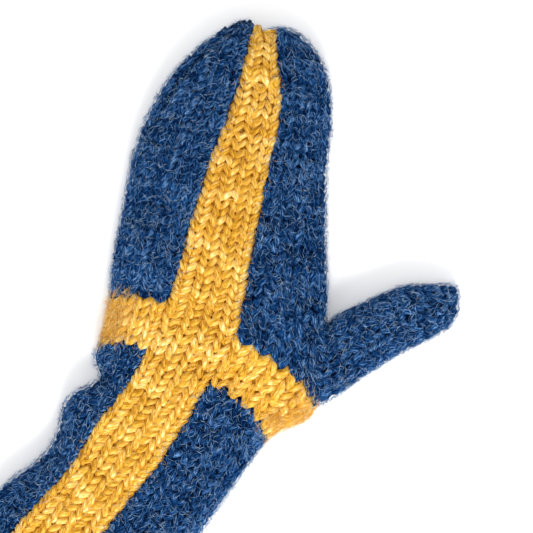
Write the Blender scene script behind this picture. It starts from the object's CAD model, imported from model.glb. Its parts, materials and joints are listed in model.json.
"""The looks of a thick knitted wool mitten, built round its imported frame.

The mitten lies palm down and empty. Its fabric is a flattened tube, and every stitch is laid on
that tube as a strand of real yarn: blue fields, a yellow cross, and a brushed nap over both.
Lengths are in millimetres until a mesh is made, and in metres after that.
"""

import json
import logging
import math
from collections.abc import Callable, Iterator
from dataclasses import dataclass, field
from enum import Enum, IntEnum

import bpy
import numpy as np
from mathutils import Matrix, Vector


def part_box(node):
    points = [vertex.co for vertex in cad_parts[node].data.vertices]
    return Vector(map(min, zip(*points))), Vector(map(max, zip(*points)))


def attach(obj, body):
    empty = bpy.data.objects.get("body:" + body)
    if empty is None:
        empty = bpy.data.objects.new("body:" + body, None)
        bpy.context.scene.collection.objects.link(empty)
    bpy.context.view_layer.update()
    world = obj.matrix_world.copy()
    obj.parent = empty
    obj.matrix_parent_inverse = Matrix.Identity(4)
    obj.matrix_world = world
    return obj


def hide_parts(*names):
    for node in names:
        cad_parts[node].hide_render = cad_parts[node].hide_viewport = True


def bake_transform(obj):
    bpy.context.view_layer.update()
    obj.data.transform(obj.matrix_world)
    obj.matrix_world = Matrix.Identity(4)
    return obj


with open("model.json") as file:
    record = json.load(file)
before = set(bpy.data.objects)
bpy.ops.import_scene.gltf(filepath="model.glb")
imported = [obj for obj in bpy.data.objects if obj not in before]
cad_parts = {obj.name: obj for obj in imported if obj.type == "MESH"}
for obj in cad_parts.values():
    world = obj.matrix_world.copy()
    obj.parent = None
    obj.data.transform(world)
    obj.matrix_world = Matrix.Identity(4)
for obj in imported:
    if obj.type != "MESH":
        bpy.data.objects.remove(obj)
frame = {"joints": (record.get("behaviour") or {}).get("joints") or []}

log = logging.getLogger("mitten")
MM = 0.001
TAU = 2 * math.pi
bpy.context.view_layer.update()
OFF_FLOOR = 0.15
# How far past its last guide row a closed end is knitted: 1 would be its very middle.
DRAWN_SHUT = 0.95

Where = Callable[[np.ndarray, np.ndarray], np.ndarray]
Socket = bpy.types.NodeSocket
Stops = tuple[tuple[float, str], ...]


class Wool(Enum):
    """The two yarns of the mitten, by the record's material slots."""

    BLUE = "blue_wool"
    YELLOW = "yellow_wool"


class Row(IntEnum):
    """Guide rows of the main tube that pieces start or end on."""

    MOUTH = 0
    ARM_LOW = 3
    ARM_HIGH = 4
    CROTCH = 5
    KNUCKLES = 7
    TIP = 11


class ThumbRow(IntEnum):
    """Guide rows of the thumb that pieces start or end on."""

    ROOT = 0
    TIP = 7


# ---- Meshes ------------------------------------------------------------------------------


def unit(vectors: np.ndarray) -> np.ndarray:
    """Vectors of length one."""
    return vectors / np.maximum(np.linalg.norm(vectors, axis=-1, keepdims=True), 1e-9)


def cells(rows: int, columns: int) -> tuple[np.ndarray, np.ndarray]:
    """The row and the column of every cell of a grid."""
    row, column = np.meshgrid(np.arange(rows), np.arange(columns), indexing="ij")
    return row.ravel(), column.ravel()


def spokes(along: np.ndarray, outward: np.ndarray, sides: int, start: float = 0) -> np.ndarray:
    """Directions that stand evenly round a strand.

    Args:
        along: direction of the strand, (..., 3).
        outward: direction that leaves the fabric, (..., 3).
        sides: how many there are.
        start: angle of the first, from the outward side.

    Returns:
        The directions, (..., sides, 3).
    """
    side = unit(np.cross(along, outward))
    front = np.cross(side, along)
    turn = start + TAU * np.arange(sides) / sides
    return (np.cos(turn)[:, None] * front[..., None, :]
            + np.sin(turn)[:, None] * side[..., None, :])


@dataclass
class Batch:
    """Faces gathered from many small closed shapes, made into one mesh at the end.

    A face is four vertex numbers. In a triangle the fourth is -1.
    """

    name: str
    parts: list[dict[str, np.ndarray]] = field(default_factory=list)
    count: int = 0
    cells: int = 0

    def add(self, points: np.ndarray, faces: np.ndarray, yarn: np.ndarray, local: np.ndarray,
            cell: np.ndarray, tone: np.ndarray) -> None:
        """Adds shapes.

        Args:
            points: vertices in millimetres, (n, 3).
            faces: vertex numbers of the faces, (m, 4).
            yarn: place round and along the yarn at each face corner, (m, 4, 2).
            local: place inside the face's texture cell, 0 to 1, (m, 4, 2).
            cell: number of that cell, counted within these shapes, (m,).
            tone: lightness at each vertex, 0 to 1, (n,).
        """
        self.parts.append({
            "points": points, "faces": np.where(faces < 0, -1, faces + self.count), "yarn": yarn,
            "local": local, "cell": cell + self.cells, "tone": tone,
        })
        self.count += len(points)
        self.cells += int(cell.max()) + 1

    def build(self, finish: bpy.types.Material) -> bpy.types.Object:
        """Makes the object.

        Args:
            finish: its material.

        Returns:
            The mesh object, with its UV maps and its tone attribute.
        """
        whole = {key: np.concatenate([part[key] for part in self.parts]) for key in self.parts[0]}
        corners = whole["faces"] >= 0
        sizes = corners.sum(1)
        mesh = bpy.data.meshes.new(self.name)
        mesh.vertices.add(len(whole["points"]))
        mesh.vertices.foreach_set("co", (whole["points"] * MM).astype(np.float32).ravel())
        mesh.loops.add(int(sizes.sum()))
        mesh.loops.foreach_set("vertex_index", whole["faces"][corners].astype(np.int32))
        mesh.polygons.add(len(sizes))
        starts = np.concatenate([[0], np.cumsum(sizes)[:-1]])
        mesh.polygons.foreach_set("loop_start", starts.astype(np.int32))
        mesh.polygons.foreach_set("use_smooth", np.ones(len(sizes), bool))
        across = max(1, math.ceil(math.sqrt(self.cells)))
        cell = np.stack([whole["cell"] % across, whole["cell"] // across], 1)[:, None, :]
        margin = 0.06
        atlas = (cell + margin + (1 - 2 * margin) * whole["local"]) / across
        for name, places in (("YarnUV", whole["yarn"]), ("OFBake", atlas)):
            layer = mesh.uv_layers.new(name=name)
            layer.uv.foreach_set("vector", places[corners].astype(np.float32).ravel())
        tone = mesh.attributes.new("tone", "FLOAT", "POINT")
        tone.data.foreach_set("value", whole["tone"].astype(np.float32))
        mesh.update()
        mesh.materials.append(finish)
        piece = bpy.data.objects.new(self.name, mesh)
        bpy.context.scene.collection.objects.link(piece)
        log.info("%s: %d faces", self.name, len(sizes))
        return piece


@dataclass(frozen=True)
class Yarn:
    """What a strand is made of.

    radius is in millimetres, sides counts the sides of its section, stretches its lengths in a
    stitch and in a texture cell, and proud is how much lighter it is where it stands out.
    """

    radius: float
    sides: int
    stretches: int
    proud: float


def sweep(batch: Batch, path: np.ndarray, outward: np.ndarray, radius: np.ndarray,
          tone: np.ndarray, yarn: Yarn) -> None:
    """Adds a closed strand of yarn along a path.

    Args:
        batch: where it goes.
        path: centreline, (k, 3).
        outward: direction that leaves the fabric at each point, (k, 3).
        radius: of the strand at each point, (k,).
        tone: lightness at each point, (k,).
        yarn: the number of sides, and how many stretches share a texture cell.
    """
    count, sides = len(path), yarn.sides
    along = unit(np.gradient(path, axis=0))
    length = np.concatenate([[0], np.cumsum(np.linalg.norm(np.diff(path, axis=0), axis=1))])
    # The seam of the texture lies on the inner side of the fabric.
    body = path[:, None, :] + spokes(along, outward, sides, math.pi) * radius[:, None, None]
    rounded = 0.6
    ends = np.stack([path[0] - along[0] * radius[0] * rounded,
                     path[-1] + along[-1] * radius[-1] * rounded])
    k, j = cells(count - 1, sides)
    after = (j + 1) % sides
    low, high = k * sides, (k + 1) * sides
    walls = np.stack([low + j, low + after, high + after, high + j], 1)
    around = np.stack([j, j + 1, j + 1, j], 1) / sides
    places = np.stack([length[k], length[k], length[k + 1], length[k + 1]], 1)
    start = (k % yarn.stretches) / yarn.stretches
    stop = start + 1 / yarn.stretches
    local = np.stack([around, np.stack([start, start, stop, stop], 1)], 2)
    cell = k // yarn.stretches
    j = np.arange(0, sides, 2)
    after, beyond = (j + 1) % sides, (j + 2) % sides
    tip = np.full(len(j), count * sides)
    caps = np.concatenate([
        np.stack([after, j, tip, beyond], 1),
        np.stack([j, after, beyond, tip + 1 - (count - 1) * sides], 1) + (count - 1) * sides,
    ])
    flat = np.zeros((len(caps), 4, 2))
    late = flat.copy()
    late[len(j):, :, 1] = 1
    batch.add(
        np.concatenate([body.reshape(-1, 3), ends]),
        np.concatenate([walls, caps]),
        np.concatenate([np.stack([around, places], 2), late * length[-1]]),
        np.concatenate([local, late]),
        np.concatenate([cell, np.repeat([0, cell.max()], len(j))]),
        np.concatenate([np.repeat(tone, sides), tone[[0, -1]]]),
    )


def fibres(batch: Batch, paths: np.ndarray, outward: np.ndarray, radius: np.ndarray,
           tone: np.ndarray) -> None:
    """Adds loose fibres, each a thin three-sided strand with pointed ends.

    Args:
        batch: where they go.
        paths: their centrelines, (n, k, 3).
        outward: direction that leaves the fabric, (n, 3).
        radius: thickest radius of each, (n,).
        tone: lightness of each, (n,).
    """
    number, count, _ = paths.shape
    sides, rings = 3, count - 2
    along = unit(np.gradient(paths, axis=1))[:, 1:-1]
    taper = (0.25, 0.8)
    thick = radius[:, None] * np.sin(np.linspace(*taper, rings) * math.pi)[None, :]
    ring = spokes(along, outward[:, None, :], sides)
    body = paths[:, 1:-1, None, :] + ring * thick[:, :, None, None]
    points = np.concatenate([body.reshape(number, -1, 3), paths[:, :1], paths[:, -1:]], 1)
    faces, local = [], []
    for j in range(sides):
        after = (j + 1) % sides
        left, right = j / sides, (j + 1) / sides
        for k in range(rings - 1):
            low, high = k * sides, (k + 1) * sides
            faces.append([low + j, low + after, high + after, high + j])
            near, far = (k + 1) / count, (k + 2) / count
            local.append([[left, near], [right, near], [right, far], [left, far]])
        top = (rings - 1) * sides
        faces += [[after, j, rings * sides, -1], [top + j, top + after, rings * sides + 1, -1]]
        near, far = 1 / count, rings / count
        local += [[[right, near], [left, near], [left, 0], [0, 0]],
                  [[left, far], [right, far], [right, 1], [0, 0]]]
    each = rings * sides + 2
    base = np.array(faces)[None]
    placed = np.where(base < 0, -1, base + (np.arange(number) * each)[:, None, None])
    spread = np.tile(np.array(local, float), (number, 1, 1))
    batch.add(points.reshape(-1, 3), placed.reshape(-1, 4), spread, spread,
              np.repeat(np.arange(number), len(faces)), np.repeat(tone, each))


# ---- The fabric tube ---------------------------------------------------------------------


@dataclass(frozen=True)
class Crumple:
    """A place where slack fabric is pushed out of line: its middle, reach and push, in mm."""

    at: tuple[float, float]
    reach: float
    push: tuple[float, float, float]


@dataclass(frozen=True)
class Groove:
    """A shallow groove beside the edge of the back, where the tube narrows row by row.

    beside is its distance from the edge, width its half-width and depth its depth, in mm. It is
    absent up to the guide row start and deepest from the guide row full on. side is 1 at the
    right edge and -1 at the left.
    """

    side: int
    beside: float
    width: float
    depth: float
    start: float
    full: float


class FabricTube:
    """A flattened tube of fabric through guide rows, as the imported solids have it.

    A guide row holds its left and right edge points, the bow of its middle, the height of the
    fabric there, and the middle and half-width of the cross's upright along it. Past its last
    row the tube is drawn together: one more row leads to its middle.

    ROUND is the exponent of the flattened section, where 1 would be an ellipse, and FLAT the
    share of its lower half-height that the flat underside leaves. DOME is how far a closed end
    stands out, in millimetres. A groove fades out where half the tube's width is NARROW or
    less, and is whole where it is FADE more than that. ROW_STEPS, ROUND_STEPS and SHARES are
    how finely the tables of angles divide a guide row and a stretch.
    """

    ROUND = 0.8
    FLAT = 0.85
    BOW_POWER = 4
    DOME = 1.0
    NARROW = 8
    FADE = 10
    ROW_STEPS = 30
    ROUND_STEPS = 60
    SHARES = 33

    def __init__(self, rows: list[list[float]], crumples: tuple[Crumple, ...] = (),
                 grooves: tuple[Groove, ...] = ()) -> None:
        """Keeps the rows.

        Args:
            rows: the guide rows, from the open end to the closed one.
            crumples: where slack fabric is pushed out of line.
            grooves: where the decreases lie.
        """
        self.rows = np.array(rows, float)
        self.crumples = crumples
        self.grooves = grooves
        self.last = len(rows) - 1
        self.grid = np.linspace(0, self.last + 1, self.ROW_STEPS * (self.last + 1) + 1)
        self.tables: dict[str, tuple[np.ndarray, np.ndarray]] = {}

    def values(self, v: np.ndarray) -> np.ndarray:
        """Catmull-Rom through the guide rows, every value of a row at once.

        Args:
            v: guide row, counted from the open end, (...).

        Returns:
            The row's values, (..., 8).
        """
        start = np.clip(np.floor(v).astype(int), 0, self.last - 1)
        u = (v - start)[..., None]
        low, high = self.rows[start], self.rows[start + 1]
        leave = (high - self.rows[np.maximum(start - 1, 0)]) / 2
        arrive = (self.rows[np.minimum(start + 2, self.last)] - low) / 2
        return ((2 * u**3 - 3 * u**2 + 1) * low + (u**3 - 2 * u**2 + u) * leave
                + (3 * u**2 - 2 * u**3) * high + (u**3 - u**2) * arrive)

    def point(self, v: np.ndarray, angle: np.ndarray) -> np.ndarray:
        """Points of the outer surface.

        Args:
            v: guide row, counted from the open end.
            angle: from the right edge over the back.

        Returns:
            The points, (..., 3).
        """
        v, angle = np.broadcast_arrays(np.asarray(v, float), np.asarray(angle, float))
        inside = np.clip(v, 0, self.last)
        left_x, left_y, right_x, right_y, bow, depth = np.moveaxis(self.values(inside), -1, 0)[:6]
        width = np.hypot(right_x - left_x, right_y - left_y)
        across_x, across_y = (right_x - left_x) / width, (right_y - left_y) / width
        half, rise = width / 2, depth / (1 + self.FLAT)
        middle = depth - rise
        share = 1 - np.clip(v - self.last, 0, 0.97)
        cos, sin = np.cos(angle), np.sin(angle)
        x = share * half * np.sign(cos) * np.abs(cos) ** self.ROUND
        z = share * rise * np.sign(sin) * np.abs(sin) ** self.ROUND
        ahead = bow * (1 - (x / half) ** self.BOW_POWER) + self.DOME * (1 - share**2)
        ahead = ahead + np.minimum(v, 0) * half
        place = np.stack([
            (left_x + right_x) / 2 + across_x * x - across_y * ahead,
            (left_y + right_y) / 2 + across_y * x + across_x * ahead,
            middle + np.maximum(z, -middle),
        ], -1)
        for groove in self.grooves:
            from_line = (half - groove.side * x - groove.beside) / groove.width
            amount = np.clip((v - groove.start) / (groove.full - groove.start), 0, 1)
            wide = np.clip((half - self.NARROW) / self.FADE, 0, 1)
            amount = amount * wide * np.exp(-0.5 * from_line**2)
            place[..., 2] -= groove.depth * amount * (sin > 0)
        for crumple in self.crumples:
            distance = np.hypot(place[..., 0] - crumple.at[0], place[..., 1] - crumple.at[1])
            push = np.exp(-0.5 * (distance / crumple.reach) ** 2)[..., None] * np.array(crumple.push)
            push[..., 2] *= np.clip(place[..., 2] / depth, 0, 1)
            place = place + push
        return place

    def frame_at(self, v: np.ndarray, angle: np.ndarray) -> tuple[np.ndarray, ...]:
        """The surface and its directions.

        Args:
            v: guide row.
            angle: from the right edge over the back.

        Returns:
            The point, the directions round and along the tube, and the way out.
        """
        row_step, angle_step = 0.03, 0.02
        here = self.point(v, angle)
        over = unit(self.point(v, angle + angle_step) - self.point(v, angle - angle_step))
        high, low = np.minimum(v + row_step, self.last + 0.96), np.maximum(v - row_step, 0)
        along = unit(self.point(np.maximum(high, low + row_step), angle) - self.point(low, angle))
        return here, over, along, unit(np.cross(along, over))

    def under(self, v: np.ndarray, angle: np.ndarray,
              inset: np.ndarray) -> tuple[np.ndarray, np.ndarray]:
        """Points at a depth under the outer surface, and the way out there."""
        here, _, _, out = self.frame_at(v, angle)
        return here - out * np.asarray(inset)[..., None], out

    def upright_edge(self, v: np.ndarray, side: int) -> np.ndarray:
        """The angle of the upright's edge.

        Args:
            v: guide row.
            side: 1 for the right edge and -1 for the left.

        Returns:
            The angle at each row.
        """
        row = np.moveaxis(self.values(np.clip(v, 0, self.last)), -1, 0)
        x = (row[6] + side * row[7]) / (np.hypot(row[2] - row[0], row[3] - row[1]) / 2)
        return np.arccos(np.clip(np.sign(x) * np.abs(x) ** (1 / self.ROUND), -1, 1))

    def stretch(self, name: str, start: np.ndarray, stop: np.ndarray) -> None:
        """Names a stretch of every row, in which columns are then evenly spaced.

        Args:
            name: of the stretch.
            start: its first angle on each row of the grid.
            stop: its last angle there.
        """
        across = np.linspace(0, 1, self.ROUND_STEPS + 1)
        angles = start[:, None] + (stop - start)[:, None] * across[None, :]
        points = self.point(self.grid[:, None], angles)
        step = np.linalg.norm(np.diff(points, axis=1), axis=2)
        length = np.concatenate([np.zeros((len(step), 1)), np.cumsum(step, 1)], 1)
        even = np.linspace(0, 1, self.SHARES)
        table = np.stack([np.interp(even * row[-1], row, a) for row, a in zip(length, angles)])
        self.tables[name] = (table, length[:, -1])

    def angle(self, name: str, v: np.ndarray, share: np.ndarray) -> np.ndarray:
        """The angle at a share of a named stretch.

        Args:
            name: of the stretch.
            v: guide row.
            share: of the way from the stretch's first angle to its last.

        Returns:
            The angle.
        """
        table, _ = self.tables[name]
        row = np.clip(v / self.grid[-1] * (len(self.grid) - 1), 0, len(self.grid) - 1.001)
        col = share * (self.SHARES - 1)
        i, j = row.astype(int), np.clip(np.floor(col).astype(int), 0, self.SHARES - 2)
        p, q = row - i, col - j
        return ((1 - p) * ((1 - q) * table[i, j] + q * table[i, j + 1])
                + p * ((1 - q) * table[i + 1, j] + q * table[i + 1, j + 1]))

    def width(self, name: str, v: float) -> float:
        """The length of a named stretch at a row."""
        return float(np.interp(v, self.grid, self.tables[name][1]))

    def courses(self, start: float, stop: float, number: int) -> np.ndarray:
        """Courses that are evenly spaced along the middle of the back.

        Args:
            start: guide row of the first course line.
            stop: guide row of the last.
            number: of courses between them.

        Returns:
            The guide-row values of the course lines.
        """
        samples = 300
        v = np.linspace(start, stop, samples)
        points = self.point(v, np.full(len(v), math.pi / 2))
        length = np.concatenate([[0], np.cumsum(np.linalg.norm(np.diff(points, axis=0), axis=1))])
        return np.interp(np.linspace(0, length[-1], number + 1), length, v)


# ---- Shape of this mitten ----------------------------------------------------------------


@dataclass
class MittenShape:
    """The guide rows of hand and thumb, in millimetres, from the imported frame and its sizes."""

    palm_left: float = 47.4
    palm_right: float = 57.0
    knuckle_right: float = 46.0
    knuckle_y: float = 88.0
    little_finger_round: float = 1.57
    index_finger_round: float = 2.9
    index_finger_lean: float = 1.3
    arm_width: float = 21.8
    arm_left_y: float = 15.6
    arm_right_y: float = -19.0
    arm_left_in: float = 1.2
    heel_out: float = 2.3
    arm_slant: tuple[float, float] = (-19.0, -18.7)
    arm_upper_bow: float = 11.5
    arm_lower_bow: float = 9.5
    cuff_turn: float = math.radians(29)
    wrist: tuple[float, float] = (-7.5, -41.5)
    wrist_width: float = 83.0
    cuff_length: float = 100.0
    mouth_width: float = 94.0
    cuff_depth: float = 24.0
    upright_width: float = 33.0
    upright_mouth_width: float = 34.5
    upright_knuckle_width: float = 28.0
    upright_tip_width: float = 8.5
    upright_tip_x: float = 4.2
    upright_lean: float = 3.4
    upright_cuff_shift: float = -10.8
    thumb_angle: float = math.radians(33)
    thumb_length: float = 72.0
    thumb_above: float = 19.0
    thumb_below: float = 10.8
    tip_depth: float = 15.0
    side_angle: float = math.radians(35)

    def __post_init__(self) -> None:
        """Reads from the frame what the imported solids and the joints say."""
        joints = {joint["name"]: joint for joint in frame["joints"]}
        self.hand_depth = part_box("hand_upright")[1].z / MM
        self.thumb_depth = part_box("thumb_back")[1].z / MM
        self.fingertip_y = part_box("tip_closure")[1].y / MM
        self.fold_y = joints["finger_fold"]["pos_m"][1] / MM
        self.crotch_y = round(joints["thumb_swing"]["pos_m"][1] / MM)

    @property
    def cuff_down(self) -> np.ndarray:
        """Direction down the cuff, from wrist to mouth."""
        return np.array([-math.sin(self.cuff_turn), -math.cos(self.cuff_turn)])

    @property
    def cuff_across(self) -> np.ndarray:
        """Direction across the cuff, to its right edge."""
        return np.array([math.cos(self.cuff_turn), -math.sin(self.cuff_turn)])

    def on_cuff(self, along: float, across: float) -> tuple[float, float]:
        """A place on the cuff, from the middle of the wrist."""
        return tuple(np.array(self.wrist) + self.cuff_down * along + self.cuff_across * across)

    def cuff_row(self, along: float, width: float) -> list[float]:
        """A row of the cuff, straight across its axis."""
        left, right = self.on_cuff(along, -width / 2), self.on_cuff(along, width / 2)
        wider = (self.upright_mouth_width - self.upright_width) * along / self.cuff_length
        return [*left, *right, 0, self.cuff_depth, self.upright_cuff_shift,
                (self.upright_width + wider) / 2]

    def finger_row(self, rise: float, depth: float) -> list[float]:
        """A row of the fingertips.

        Args:
            rise: the share of the way from the knuckles to the tip.
            depth: the height of the fabric there.

        Returns:
            The guide row.
        """
        middle = (self.knuckle_right - self.palm_left) / 2
        half = (self.knuckle_right + self.palm_left) / 2
        y = self.knuckle_y + (self.fingertip_y - self.knuckle_y) * rise
        left = middle - half * (1 - rise**self.little_finger_round) ** (1 / self.little_finger_round)
        right = middle + half * (1 - rise**self.index_finger_round) ** (1 / self.index_finger_round)
        right -= self.index_finger_lean * math.sin(math.pi * rise)
        wide, narrow = self.upright_knuckle_width, self.upright_tip_width
        upright_x = self.upright_tip_x + self.upright_lean * math.sin(math.pi * rise**0.8)
        return [left, y, right, y, 0, depth, upright_x - (left + right) / 2,
                (wide + (narrow - wide) * rise**1.5) / 2]

    def main_rows(self) -> list[list[float]]:
        """The rows of cuff, hand and fingers, from the mouth to the tip."""
        half = self.upright_width / 2
        arm_left = (self.arm_left_in - self.palm_left, self.arm_left_y)
        arm_right = (self.palm_right + self.heel_out, self.arm_right_y)
        share = (self.fold_y - self.crotch_y) / (self.knuckle_y - self.crotch_y)
        fold_right = self.palm_right + (self.knuckle_right - self.palm_right) * share
        depth = self.hand_depth
        return [
            self.cuff_row(self.cuff_length, self.mouth_width),
            self.cuff_row(self.cuff_length / 2, (self.wrist_width + self.mouth_width) / 2),
            self.cuff_row(12, self.wrist_width),
            [arm_left[0], arm_left[1] - self.arm_width,
             arm_right[0] + self.arm_slant[0], arm_right[1] + self.arm_slant[1],
             self.arm_lower_bow, self.cuff_depth + 1, -8.8, half],
            [*arm_left, *arm_right, self.arm_upper_bow, depth, -11.6, half + 1.3],
            [-self.palm_left, self.crotch_y + 6, self.palm_right, self.crotch_y, 3, depth, -4.4, half],
            [-self.palm_left, self.fold_y, fold_right, self.fold_y, 0, depth, -0.4, half - 1],
            self.finger_row(0, depth),
            self.finger_row(0.42, depth - 1),
            self.finger_row(0.74, depth - 4),
            self.finger_row(0.93, self.tip_depth + 3),
            self.finger_row(0.995, self.tip_depth),
        ]

    def thumb_rows(self, main: FabricTube) -> list[list[float]]:
        """The rows of the thumb, which grows out of the hand between the arm and the crotch.

        Args:
            main: the tube of the hand.

        Returns:
            The guide rows, from the root to the tip.
        """
        clear = 0.04
        high, low = Row.CROTCH - clear, Row.ARM_HIGH + clear

        def start(v: float, angle: float, dx: float, dy: float) -> np.ndarray:
            """A point near the hand's edge."""
            return main.point(v, angle)[:2] + np.array([dx, dy])

        root_left, root_right = start(high, 0, 1, -1), start(low, 0, 2, 0.6)
        base = (root_left + root_right) / 2
        along = np.array([math.cos(self.thumb_angle), math.sin(self.thumb_angle)])
        upward = np.array([-along[1], along[0]])

        def row(share: float, above: float, below: float, depth: float) -> list[float]:
            """A row across the thumb's axis."""
            middle = base + along * share * self.thumb_length
            return [*(middle + upward * above), *(middle - upward * below), 0, depth, 0, 1]

        above, below, depth = self.thumb_above, self.thumb_below, self.thumb_depth
        return [
            [*start(high, self.side_angle, 1.5, -1), *start(low, self.side_angle, 1.5, 0.6),
             0, depth, 0, 1],
            [*root_left, *root_right, 0, depth, 0, 1],
            row(0.2, above - 0.7, below + 2.7, depth),
            row(0.43, above, below, depth),
            row(0.65, above, below - 1.3, depth - 1),
            row(0.82, above - 4, below - 2.3, depth - 3),
            row(0.93, above - 7, below - 6.5, self.tip_depth),
            row(0.99, above - 9.5, below - 14, self.tip_depth - 3),
        ]

    def crumples(self) -> tuple[Crumple, ...]:
        """The hollow of the little-finger edge, the wrist's slack folds and the fingertips' lobes."""
        return (
            Crumple((-46, 92), 22.0, (1.3, 0, 0)),
            Crumple((-47.5, -13), 5.5, (-2.2, 0, 1.5)),
            Crumple((-46, -23.5), 4.5, (4.4, 0, -3)),
            Crumple(self.on_cuff(17, -43), 9.0, (-6.3, 0.9, 2.5)),
            Crumple(self.on_cuff(47, -44), 12.0, (4.2, -2.2, -2)),
            Crumple((-5, self.fingertip_y - 2), 4.5, (0, 1.2, 0)),
            Crumple((3.5, self.fingertip_y), 4.5, (0, -4.2, 0)),
            Crumple((14, self.fingertip_y - 3), 6.0, (1.0, 0.8, 0)),
        )


# ---- Knitting ----------------------------------------------------------------------------


@dataclass(frozen=True)
class Stitch:
    """One stockinette stitch: a loop whose two legs make the V on the outside.

    lean moves the legs towards the middle of their V and reach is half the loop's height, in
    stitch widths and rows. In millimetres, crossing is half of how far the legs stand in front
    of the arcs that join them, and shingle half of how much deeper a loop's head lies than its
    foot.
    plump is the share by which the yarn swells in its legs and thins in its arcs.
    """

    width: float = 8.1
    lean: float = 0.25
    reach: float = 0.84
    crossing: float = 1.2
    shingle: float = 0.9
    plump: float = 0.2


@dataclass(frozen=True)
class Unevenness:
    """How much hand knitting differs from stitch to stitch: the spread of each difference.

    lean and place are in stitch widths, course in rows and depth in millimetres. reach, girth
    and tone are shares.
    """

    lean: float = 0.03
    place: float = 0.055
    reach: float = 0.07
    course: float = 0.08
    girth: float = 0.1
    depth: float = 0.18
    tone: float = 0.2


@dataclass(frozen=True)
class Strand:
    """A run of stitches in one yarn along a course, over a named stretch of the tube."""

    course: float
    stretch: str
    number: int


class Knitter:
    """Lays strands of stitches on a fabric tube."""

    # How thin or plump the yarn may get where the stitches are narrower or wider than usual.
    SQUEEZED, PLUMPEST = 0.5, 1.3
    UNEVEN = Unevenness()

    def __init__(self, tube: FabricTube, courses: np.ndarray, stitch: Stitch, seed: int) -> None:
        """Keeps what is knitted on.

        Args:
            tube: the fabric.
            courses: guide-row value of each course line.
            stitch: the stitch that is worked.
            seed: for the small differences from one stitch to the next.
        """
        self.tube = tube
        self.courses = courses
        self.stitch = stitch
        self.chance = np.random.default_rng(seed)

    def lay(self, batch: Batch, strand: Strand, yarn: Yarn) -> None:
        """Adds one strand to a batch.

        Args:
            batch: where it goes.
            strand: the course it lies on, its stretch and its number of stitches.
            yarn: what it is made of.
        """
        s, number, differ = self.stitch, strand.number, self.UNEVEN
        t = np.linspace(0, number, number * yarn.stretches + 1)
        loop = TAU * (t - 0.5)

        def uneven(size: float) -> np.ndarray:
            """A small difference that changes from stitch to stitch."""
            return np.interp(t, np.arange(number + 1), self.chance.normal(0, size, number + 1))

        place = t + (s.lean + uneven(differ.lean)) * np.sin(2 * loop) + uneven(differ.place)
        reach = s.reach * (1 + uneven(differ.reach))
        course = strand.course + 0.5 + reach * np.cos(loop) + uneven(differ.course)
        v = np.interp(course, np.arange(len(self.courses)), self.courses)
        angle = self.tube.angle(strand.stretch, v, place / number)
        width = self.tube.width(strand.stretch, float(np.median(v))) / number
        fitted = yarn.radius * np.clip(width / s.width, self.SQUEEZED, self.PLUMPEST)
        radius = fitted * (1 - s.plump * np.cos(2 * loop))
        radius = radius * (1 + uneven(differ.girth))
        middle = yarn.radius + s.crossing + 0.35 * s.shingle
        inset = middle + s.crossing * np.cos(2 * loop) + s.shingle * np.cos(loop)
        inset = inset + uneven(differ.depth)
        path, out = self.tube.under(v, angle, inset)
        path[:, 2] = np.maximum(path[:, 2], radius + OFF_FLOOR)
        tone = np.clip(0.5 + uneven(differ.tone) - yarn.proud * np.cos(2 * loop), 0, 1)
        sweep(batch, path, out, radius, tone, yarn)


@dataclass(frozen=True)
class Nap:
    """Fibres that brushing has raised out of the yarn, in millimetres.

    length, radius and stand are each a least and a most, where stand is how far a fibre rises
    above its root. curl is the spread of its turns in radians, sunk how deep its root lies
    and points the number of points of its centreline.
    """

    per_square_cm: float
    length: tuple[float, float]
    radius: tuple[float, float]
    curl: float
    stand: tuple[float, float]
    sunk: float = 0.5
    points: int = 5


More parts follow.
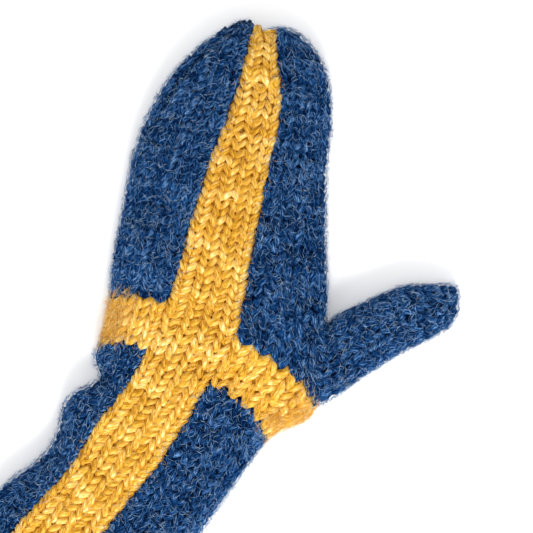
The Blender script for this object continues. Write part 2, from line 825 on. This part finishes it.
class Brush:
    """Raises nap on a fabric tube."""

    PATCHES = (90, 120)

    def __init__(self, tube: FabricTube, seed: int) -> None:
        """Keeps what is brushed.

        Args:
            tube: the fabric.
            seed: for where each fibre stands.
        """
        self.tube = tube
        self.chance = np.random.default_rng(seed)

    def scatter(self, per_square_cm: float, start: float,
                stop: float) -> tuple[np.ndarray, np.ndarray]:
        """Scatters places evenly over the fabric.

        Args:
            per_square_cm: how many there are.
            start: the first guide row.
            stop: the last guide row.

        Returns:
            The places, as guide rows and angles.
        """
        rows = np.linspace(start, stop, self.PATCHES[0] + 1)
        angles = np.linspace(0, TAU, self.PATCHES[1] + 1)
        corner = self.tube.point(rows[:, None], angles[None, :])
        down, over = corner[1:, :-1] - corner[:-1, :-1], corner[:-1, 1:] - corner[:-1, :-1]
        area = np.linalg.norm(np.cross(down, over), axis=2)
        number = int(area.sum() / 100 * per_square_cm)
        patch = self.chance.choice(area.size, number, p=(area / area.sum()).ravel())
        i, j = np.unravel_index(patch, area.shape)
        v = rows[i] + self.chance.random(number) * (rows[1] - rows[0])
        return v, angles[j] + self.chance.random(number) * (angles[1] - angles[0])

    def raise_nap(self, batch: Batch, nap: Nap, v: np.ndarray, angle: np.ndarray) -> None:
        """Adds one fibre at each place.

        Args:
            batch: where they go.
            nap: what they are like.
            v: guide row of each place.
            angle: angle of each place.
        """
        number = len(v)
        if not number:
            return
        chance = self.chance
        here, over, along, out = self.tube.frame_at(v, angle)
        part = np.linspace(0, 1, nap.points)
        curl, sway = chance.normal(0, nap.curl, (2, number, 1))
        heading = chance.uniform(0, TAU, (number, 1)) + 2 * curl * part + sway * np.sin(part * math.pi)
        step = chance.uniform(*nap.length, (number, 1)) / (nap.points - 1)
        x, y = np.cumsum(np.cos(heading) * step, 1), np.cumsum(np.sin(heading) * step, 1)
        stand = nap.stand[0] + (nap.stand[1] - nap.stand[0]) * chance.random((number, 1)) ** 3
        height = stand * np.sin(part * math.pi * chance.uniform(0.5, 1.0, (number, 1))) - nap.sunk
        paths = (here[:, None, :] + over[:, None, :] * x[:, :, None]
                 + along[:, None, :] * y[:, :, None] + out[:, None, :] * height[:, :, None])
        paths[..., 2] = np.maximum(paths[..., 2], OFF_FLOOR)
        fibres(batch, paths, out, chance.uniform(*nap.radius, number), chance.random(number))


# ---- Finishes ----------------------------------------------------------------------------


def linear(hex_colour: str) -> tuple[float, float, float, float]:
    """An sRGB hex colour as linear RGBA."""
    channels = [int(hex_colour[i:i + 2], 16) / 255 for i in (0, 2, 4)]
    curve = [c / 12.92 if c <= 0.04045 else ((c + 0.055) / 1.055) ** 2.4 for c in channels]
    return (*curve, 1.0)


class Shader:
    """A material under construction: one Principled shader and what feeds it."""

    def __init__(self, name: str, roughness: float, specular: float) -> None:
        """Starts the material."""
        self.material = bpy.data.materials.new(name)
        self.material.use_nodes = True
        self.tree = self.material.node_tree
        self.surface = self.tree.nodes["Principled BSDF"]
        self.surface.inputs["Roughness"].default_value = roughness
        self.surface.inputs["Specular IOR Level"].default_value = specular

    def node(self, kind: str, links: dict | None = None, values: dict | None = None,
             **settings) -> Socket:
        """Adds a node.

        Args:
            kind: the node's type, without its ShaderNode prefix.
            links: input name or number to the socket that feeds it.
            values: input name or number to its value.
            settings: the node's own properties.

        Returns:
            Its first output.
        """
        node = self.tree.nodes.new("ShaderNode" + kind)
        for name, value in settings.items():
            setattr(node, name, value)
        for name, value in (values or {}).items():
            node.inputs[name].default_value = value
        for name, source in (links or {}).items():
            self.tree.links.new(source, node.inputs[name])
        return node.outputs[0]

    def sums(self, operation: str, a: Socket, *rest: Socket | float) -> Socket:
        """A Math node.

        Args:
            operation: what it does.
            a: its first input.
            rest: its other inputs, as sockets or numbers.

        Returns:
            Its output.
        """
        links = {0: a, **{i + 1: r for i, r in enumerate(rest) if not isinstance(r, (int, float))}}
        values = {i + 1: float(r) for i, r in enumerate(rest) if isinstance(r, (int, float))}
        return self.node("Math", links, values, operation=operation)

    def attribute(self, name: str) -> Socket:
        """A vertex attribute as one number."""
        node = self.tree.nodes.new("ShaderNodeAttribute")
        node.attribute_name = name
        return node.outputs["Fac"]

    def ramp(self, source: Socket, stops: Stops) -> Socket:
        """A colour ramp.

        Args:
            source: what it reads.
            stops: its places and sRGB hex colours.

        Returns:
            Its colour.
        """
        node = self.tree.nodes.new("ShaderNodeValToRGB")
        elements = node.color_ramp.elements
        elements[0].position, elements[0].color = stops[0][0], linear(stops[0][1])
        elements[1].position, elements[1].color = stops[-1][0], linear(stops[-1][1])
        for position, colour in stops[1:-1]:
            elements.new(position).color = linear(colour)
        self.tree.links.new(source, node.inputs[0])
        return node.outputs["Color"]

    def finish(self, colour: Socket, height: Socket | None = None, strength: float = 0.5,
               distance: float = 0.0003) -> bpy.types.Material:
        """Links colour and bump.

        Args:
            colour: the base colour.
            height: the height that the bump follows, or None for no bump.
            strength: of the bump.
            distance: its height in metres.

        Returns:
            The finished material.
        """
        self.tree.links.new(colour, self.surface.inputs["Base Color"])
        if height:
            size = {"Strength": strength, "Distance": distance}
            bump = self.node("Bump", {"Height": height}, size)
            self.tree.links.new(bump, self.surface.inputs["Normal"])
        return self.material


@dataclass(frozen=True)
class PliedWool:
    """Plied woollen yarn: matt and plump, twisted from plies whose fibres vary in colour.

    stops give the colours of its fibres, groove how dark the line between two plies is, and
    relief the strength of its bump. pitch is the length of one turn of the plies, girth the
    way round the yarn, and fibre the width and length of a wisp of fibres, in millimetres.
    """

    name: str
    stops: Stops
    groove: float
    relief: float
    plies: int = 2
    pitch: float = 70.0
    girth: float = 9.4
    fibre: tuple[float, float] = (0.55, 3.0)

    def material(self) -> bpy.types.Material:
        """Builds the material."""
        shader = Shader(self.name, 0.95, 0.04)
        uv = shader.node("UVMap", uv_map="YarnUV")
        place = shader.tree.nodes.new("ShaderNodeSeparateXYZ")
        shader.tree.links.new(uv, place.inputs[0])
        around, along = place.outputs[0], place.outputs[1]
        # Place across the plies, which wind round the yarn once in each pitch.
        wound = shader.sums("MULTIPLY_ADD", along, -1 / self.pitch, around)
        wave = shader.sums("SINE", shader.sums("MULTIPLY", wound, self.plies * math.pi))
        ply = shader.sums("ABSOLUTE", wave)
        # Fibres run along their ply, so the noise is long that way and fine across it.
        across = shader.sums("MULTIPLY", wound, self.girth / self.fibre[0])
        length = shader.sums("DIVIDE", along, self.fibre[1])
        fibre = shader.node("TexNoise", {"Vector": shader.node("CombineXYZ", {0: across, 1: length})},
                            {"Scale": 1.0, "Detail": 2.0, "Roughness": 0.6})
        swing = 0.25
        tone = shader.sums("MULTIPLY_ADD", shader.attribute("tone"), swing, -swing / 2)
        share = shader.sums("ADD", fibre, tone)
        shade = shader.sums("MULTIPLY_ADD", ply, self.groove, -self.groove * 0.6)
        colour = shader.ramp(shader.sums("ADD", share, shade), self.stops)
        height = shader.sums("MULTIPLY_ADD", fibre, 0.5, ply)
        return shader.finish(colour, height, self.relief, 0.0004)


@dataclass(frozen=True)
class LooseFibre:
    """Brushed-up wool fibre: every fibre has its own lightness."""

    name: str
    stops: Stops

    def material(self) -> bpy.types.Material:
        """Builds the material."""
        shader = Shader(self.name, 0.85, 0.05)
        return shader.finish(shader.ramp(shader.attribute("tone"), self.stops))


@dataclass(frozen=True)
class FulledBacking:
    """The matted middle of the fabric, which shows as dark gaps between the stitches.

    scale is how many of its flecks there are to a metre.
    """

    name: str
    blue: str
    ochre: str
    scale: float = 900.0

    def material(self) -> bpy.types.Material:
        """Builds the material."""
        shader = Shader(self.name, 1.0, 0.0)
        place = shader.tree.nodes.new("ShaderNodeTexCoord").outputs["Object"]
        matted = shader.node("TexNoise", {"Vector": place}, {"Scale": self.scale, "Detail": 2.0})
        colour = shader.ramp(shader.attribute("cross"), ((0.45, self.blue), (0.55, self.ochre)))
        return shader.finish(colour, matted)


@dataclass
class Finishes:
    """Every material of the mitten, made once."""

    def __post_init__(self) -> None:
        """Makes them."""
        self.yarn = {
            Wool.BLUE: PliedWool(
                "fulled blue heather wool",
                ((0.37, "00061a"), (0.52, "01224a"), (0.65, "184a82"), (0.80, "769dc6")),
                groove=0.10, relief=0.5).material(),
            Wool.YELLOW: PliedWool(
                "plied corn-yellow wool",
                ((0.32, "9c6610"), (0.46, "d0982e"), (0.59, "e8b84c"), (0.76, "ffeeac")),
                groove=0.10, relief=0.6).material(),
        }
        self.nap = {
            Wool.BLUE: LooseFibre(
                "brushed blue wool fibre",
                ((0.0, "062556"), (0.45, "1a4a84"), (0.72, "5f90c4"), (1.0, "c4dcf0"))).material(),
            Wool.YELLOW: LooseFibre(
                "brushed yellow wool fibre",
                ((0.0, "d89630"), (0.5, "efba4e"), (1.0, "ffeaa8"))).material(),
        }
        self.backing = FulledBacking("fulled wool backing", "020d22", "8a5c18").material()


# ---- Sections of the mitten --------------------------------------------------------------


@dataclass
class Section:
    """A stretch of the mitten that belongs to one body of the frame.

    start and stop are its guide rows. flat is the size of its fabric when cut open and laid
    out, in metres. bend gives where its pieces start and stop bending away from the hand, as
    places in millimetres. backing_depth is how deep the two skins of its matted middle lie.
    """

    name: str
    body: str
    tube: FabricTube
    courses: np.ndarray
    start: float
    stop: float
    flat: tuple[float, float]
    replaced: dict[Wool, tuple[str, ...]]
    bend: tuple[np.ndarray, np.ndarray] | None
    finishes: Finishes
    seed: int
    stitch: Stitch = field(default_factory=Stitch)
    yarns: dict[Wool, Yarn] = field(default_factory=lambda: {
        Wool.BLUE: Yarn(1.5, 8, 12, 0.4), Wool.YELLOW: Yarn(1.55, 10, 16, 0.1)})
    backing_depth: tuple[float, float] = (2.4, 3.3)

    def strands(self) -> Iterator[tuple[Wool, Strand]]:
        """Every strand of the section with its wool."""
        raise NotImplementedError

    def in_cross(self, v: np.ndarray, angle: np.ndarray) -> np.ndarray:
        """Which places are knitted in yellow."""
        return np.zeros(np.broadcast(v, angle).shape, bool)

    def naps(self) -> Iterator[tuple[Wool, Nap, Where]]:
        """The nap of each wool and where it stands."""
        def back(v: np.ndarray, angle: np.ndarray) -> np.ndarray:
            """Which places face up, or are the few that get a fibre underneath."""
            # The far digits of a guide row are as good as random.
            few = np.mod(v * 977, 1) < 0.3
            return (np.sin(angle) > -0.25) | few

        yield Wool.BLUE, Nap(66, (2.2, 6.0), (0.05, 0.10), 0.7, (0.5, 1.7)), back
        yield Wool.BLUE, Nap(20, (3, 7), (0.03, 0.055), 0.9, (0.8, 2.8)), back
        yield Wool.YELLOW, Nap(40, (1.6, 4.5), (0.04, 0.08), 0.7, (0.4, 1.4)), back

    def attach(self, piece: bpy.types.Object, wool: Wool) -> None:
        """Makes a piece move with its body, bending away from the hand across its joint.

        Args:
            piece: the finished object.
            wool: the wool whose material slot it takes.
        """
        if self.bend:
            start, end = ((*(place * MM), 0) for place in self.bend)
            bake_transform(piece)
            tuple(start)
            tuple(end)
        else:
            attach(piece, self.body)

    def backing(self) -> bpy.types.Object:
        """The matted middle layer of the fabric: a thin closed shell."""
        stop = min(self.stop, self.tube.last + 0.5)
        rows_per_guide, columns = 8, 96
        rows = round((stop - self.start) * rows_per_guide)
        v = np.linspace(self.start, stop, rows + 1)[:, None]
        angle = np.linspace(0, TAU, columns, endpoint=False)[None, :]
        v, angle = np.broadcast_arrays(v, angle)
        skins = [self.tube.under(v, angle, np.full(v.shape, d))[0] for d in self.backing_depth]
        points = np.concatenate([skin.reshape(-1, 3) for skin in skins]) * MM
        i, j = cells(rows, columns)
        k, low, high = (j + 1) % columns, i * columns, (i + 1) * columns
        shift, top = (rows + 1) * columns, rows * columns
        faces = [np.stack([low + j, high + j, high + k, low + k], 1)]
        faces.append(faces[0][:, ::-1] + shift)
        j = np.arange(columns)
        k = (j + 1) % columns
        faces.append(np.stack([j, k, k + shift, j + shift], 1))
        faces.append(np.stack([top + k, top + j, top + j + shift, top + k + shift], 1))
        mesh = bpy.data.meshes.new(self.name + "_backing")
        mesh.from_pydata(points.tolist(), [], np.concatenate(faces).tolist())
        cross = mesh.attributes.new("cross", "FLOAT", "POINT")
        yellow = np.tile(self.in_cross(v, angle).ravel(), 2)
        cross.data.foreach_set("value", yellow.astype(np.float32))
        mesh.polygons.foreach_set("use_smooth", np.ones(len(mesh.polygons), bool))
        mesh.materials.append(self.finishes.backing)
        piece = bpy.data.objects.new(mesh.name, mesh)
        bpy.context.scene.collection.objects.link(piece)
        self.attach(piece, Wool.BLUE)
        return piece

    def extras(self, batches: dict[Wool, Batch]) -> None:
        """Adds what only this section has."""

    def build(self) -> None:
        stitches = {wool: Batch(f"{self.name}_{wool.name.lower()}_stitches") for wool in Wool}
        knitter = Knitter(self.tube, self.courses, self.stitch, self.seed)
        for wool, strand in self.strands():
            knitter.lay(stitches[wool], strand, self.yarns[wool])
        self.extras(stitches)
        brush = Brush(self.tube, self.seed + 1)
        nap = {wool: Batch(f"{self.name}_{wool.name.lower()}_nap") for wool in Wool}
        for wool, kind, where in self.naps():
            v, angle = brush.scatter(kind.per_square_cm, self.start, self.stop)
            kept = where(v, angle) & (self.in_cross(v, angle) == (wool is Wool.YELLOW))
            brush.raise_nap(nap[wool], kind, v[kept], angle[kept])
        for batches, finish in ((stitches, self.finishes.yarn), (nap, self.finishes.nap)):
            for wool, batch in batches.items():
                if not batch.parts:
                    continue
                piece = batch.build(finish[wool])
                self.attach(piece, wool)
                if batches is stitches:
                    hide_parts(*self.replaced[wool])
        self.backing()


class MainSection(Section):
    """A stretch of the main tube, with the cross on its back, from its first course to its last."""

    first: int = 0
    last: int = 0
    SIDE_STITCHES = 12
    UPRIGHT_STITCHES = 4
    ARM_COURSES = (31, 36)

    def in_cross(self, v: np.ndarray, angle: np.ndarray) -> np.ndarray:
        """Which places are knitted in yellow."""
        angle = np.mod(angle, TAU)
        upright = (angle > self.tube.upright_edge(v, 1)) & (angle < self.tube.upright_edge(v, -1))
        return upright | ((v > Row.ARM_LOW) & (v < Row.ARM_HIGH))

    def strands(self) -> Iterator[tuple[Wool, Strand]]:
        """Every strand: the upright, and the two sides that meet under the palm."""
        for course in range(self.first, self.last):
            v = float(self.courses[course])
            narrow = v > Row.KNUCKLES + 0.5

            def fit(stretch: str, least: int, usual: int) -> int:
                """Stitches in a stretch: the usual number, or fewer where the tube narrows."""
                wide = self.tube.width(stretch, v) / self.stitch.width
                return max(least, min(usual, round(wide))) if narrow else usual

            yield Wool.YELLOW, Strand(course, "upright", fit("upright", 1, self.UPRIGHT_STITCHES))
            in_arm = self.ARM_COURSES[0] <= course < self.ARM_COURSES[1]
            for side in ("left", "right"):
                number = fit(side, 2, self.SIDE_STITCHES)
                yield (Wool.YELLOW if in_arm else Wool.BLUE), Strand(course, side, number)


class Cuff(MainSection):
    """The cuff, with the cast-on edge round its mouth."""

    first, last = 0, 31
    EDGE_TURNS = 34
    EDGE_YARN = 1.2
    EDGE_WIND = 0.95
    EDGE_DEEP = 2.4

    def extras(self, batches: dict[Wool, Batch]) -> None:
        """Adds the cast-on edge: two strands that wind round each other."""
        yarn, thick = self.yarns[Wool.BLUE], self.EDGE_YARN
        t = np.linspace(0, 1, self.EDGE_TURNS * yarn.stretches + 1)
        angle = -math.pi / 2 + TAU * t
        middle, over, along, out = self.tube.frame_at(np.zeros_like(t), angle)
        for phase in (0, math.pi):
            wind = self.EDGE_TURNS * math.pi * t * 2 + phase
            path = (middle - out * (self.EDGE_DEEP + self.EDGE_WIND * np.cos(wind))[:, None]
                    - along * (thick - self.EDGE_WIND * np.sin(wind))[:, None])
            path[:, 2] = np.maximum(path[:, 2], thick + OFF_FLOOR)
            radius, tone = np.full(len(t), thick), np.full(len(t), 0.5)
            sweep(batches[Wool.BLUE], path, out, radius, tone, yarn)


class Hand(MainSection):
    """The hand between wrist and crotch, with the arm of the cross round it."""

    first, last = 31, 41

    def naps(self) -> Iterator[tuple[Wool, Nap, Where]]:
        """The usual nap, and a thicker one where the arm turns over the two edges."""
        yield from super().naps()

        def edges(v: np.ndarray, angle: np.ndarray) -> np.ndarray:
            """Which places lie near an edge of the arm."""
            return (np.abs(np.cos(angle)) > 0.8) & (np.sin(angle) > -0.4)

        yield Wool.YELLOW, Nap(170, (3, 7), (0.06, 0.11), 0.5, (0.5, 1.4)), edges


class Fingers(MainSection):
    """The fingers, drawn together at their tip."""

    first, last = 41, 74


class Thumb(Section):
    """The thumb: all blue, drawn together at its tip."""

    def strands(self) -> Iterator[tuple[Wool, Strand]]:
        """Every course is one strand round the thumb."""
        for course in range(len(self.courses) - 1):
            around = self.tube.width("ring", float(self.courses[course]))
            yield Wool.BLUE, Strand(course, "ring", max(3, round(around / self.stitch.width)))


class Mitten:
    """The whole mitten."""

    COURSES = {"cuff": 31, "arm": 5, "gusset": 5, "fingers": 33, "thumb": 20}

    def __init__(self) -> None:
        """Lays out the two tubes and the four sections."""
        self.shape = shape = MittenShape()
        grooves = (Groove(-1, 5.5, 1.2, 2.6, Row.KNUCKLES, Row.KNUCKLES + 1.5),
                   Groove(1, 4.5, 1.1, 1.4, Row.KNUCKLES + 0.5, Row.KNUCKLES + 2))
        self.main = main = FabricTube(shape.main_rows(), shape.crumples(), grooves)
        right, left = main.upright_edge(main.grid, 1), main.upright_edge(main.grid, -1)
        under = np.full_like(right, 1.5 * math.pi)
        main.stretch("upright", right, left)
        main.stretch("left", left, under)
        main.stretch("right", under, right + TAU)
        self.thumb = thumb = FabricTube(shape.thumb_rows(main))
        around = np.full_like(thumb.grid, -0.5 * math.pi)
        thumb.stretch("ring", around, around + TAU)
        self.finishes = Finishes()
        spans = (("cuff", Row.MOUTH, Row.ARM_LOW), ("arm", Row.ARM_LOW, Row.ARM_HIGH),
                 ("gusset", Row.ARM_HIGH, Row.CROTCH),
                 ("fingers", Row.CROTCH, Row.TIP + DRAWN_SHUT))
        lines = [main.courses(start, stop, self.COURSES[name]) for name, start, stop in spans]
        self.main_courses = np.concatenate([lines[0], *(line[1:] for line in lines[1:])])
        self.thumb_courses = thumb.courses(
            ThumbRow.ROOT, ThumbRow.TIP + DRAWN_SHUT, self.COURSES["thumb"])

    def sections(self) -> Iterator[Section]:
        """The four sections."""
        down = self.shape.cuff_down
        yield Cuff(
            "cuff", "cuff", self.main, self.main_courses, Row.MOUTH, Row.ARM_LOW, (0.2, 0.13),
            {Wool.BLUE: ("cuff_field_left", "cuff_field_right", "cuff_palm", "cast_on_edge"),
             Wool.YELLOW: ("cuff_upright",)},
            (down * 30, down * 92), self.finishes, 11)
        yield Hand(
            "hand", "hand", self.main, self.main_courses, Row.ARM_LOW, Row.CROTCH, (0.225, 0.045),
            {Wool.BLUE: ("hand_field_left", "thumb_gusset", "hand_field_right", "hand_palm"),
             Wool.YELLOW: ("arm_back", "arm_palm", "hand_upright")},
            None, self.finishes, 23)
        yield Fingers(
            "finger", "fingers", self.main, self.main_courses, Row.CROTCH,
            Row.TIP + DRAWN_SHUT, (0.225, 0.127),
            {Wool.BLUE: ("finger_field_left", "finger_field_right", "finger_palm", "tip_closure"),
             Wool.YELLOW: ("finger_upright",)},
            (np.array([0, 30]), np.array([0, 82])), self.finishes, 37)
        yield Thumb(
            "thumb", "thumb", self.thumb, self.thumb_courses, ThumbRow.ROOT,
            ThumbRow.TIP + DRAWN_SHUT, (0.095, 0.073),
            {Wool.BLUE: ("thumb_back", "thumb_palm", "thumb_tip_closure")},
            (np.array([57, 0]), np.array([85, 0])), self.finishes, 41)

    def build(self) -> None:
        """Builds every section."""
        for section in self.sections():
            section.build()


# ---- Setting -----------------------------------------------------------------------------


@dataclass
class Studio:
    """White paper, a white room and one soft lamp, seen from straight above. In metres."""

    field_of_view: float = 0.2558
    camera_height: float = 1.3
    middle: tuple[float, float] = (0.0250, 0.0426)
    roll: float = math.radians(9.8)
    room: float = 0.95
    lamp_power: float = 17.0
    glow: float = 0.2
    lamp_size: float = 0.6
    lamp_place: tuple[float, float, float] = (0.25, -1.0, 0.9)

    def build(self) -> None:
        """Makes floor, light and camera."""
        scene = bpy.context.scene
        bpy.ops.mesh.primitive_plane_add(size=6)
        floor = bpy.context.object
        floor.name = "floor"
        paper = Shader("matt white paper", 0.9, 0.1)
        paper.surface.inputs["Base Color"].default_value = linear("fcfcfc")
        paper.surface.inputs["Emission Color"].default_value = (1, 1, 1, 1)
        paper.surface.inputs["Emission Strength"].default_value = self.glow
        floor.data.materials.append(paper.material)
        world = bpy.data.worlds.new("white room")
        world.use_nodes = True
        world.node_tree.nodes["Background"].inputs["Color"].default_value = (1, 1, 1, 1)
        world.node_tree.nodes["Background"].inputs["Strength"].default_value = self.room
        scene.world = world
        lamp = bpy.data.lights.new("window", "AREA")
        lamp.shape = "DISK"
        lamp.size = self.lamp_size
        lamp.energy = self.lamp_power
        window = bpy.data.objects.new("window", lamp)
        window.location = self.lamp_place
        x, y, z = self.lamp_place
        window.rotation_euler = (0, math.atan2(math.hypot(x, y), z), math.atan2(y, x))
        scene.collection.objects.link(window)
        lens = bpy.data.cameras.new("camera")
        lens.sensor_width = 36
        lens.lens = lens.sensor_width * self.camera_height / self.field_of_view
        camera = bpy.data.objects.new("camera", lens)
        camera.location = (*self.middle, self.camera_height)
        camera.rotation_euler = (0, 0, self.roll)
        scene.collection.objects.link(camera)
        scene.camera = camera
        scene.view_settings.view_transform = "Standard"


def main() -> None:
    """Builds the mitten and its setting."""
    logging.basicConfig(level=logging.INFO, format="%(message)s")
    Mitten().build()
    Studio().build()
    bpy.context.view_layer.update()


if __name__ == "__main__":
    main()
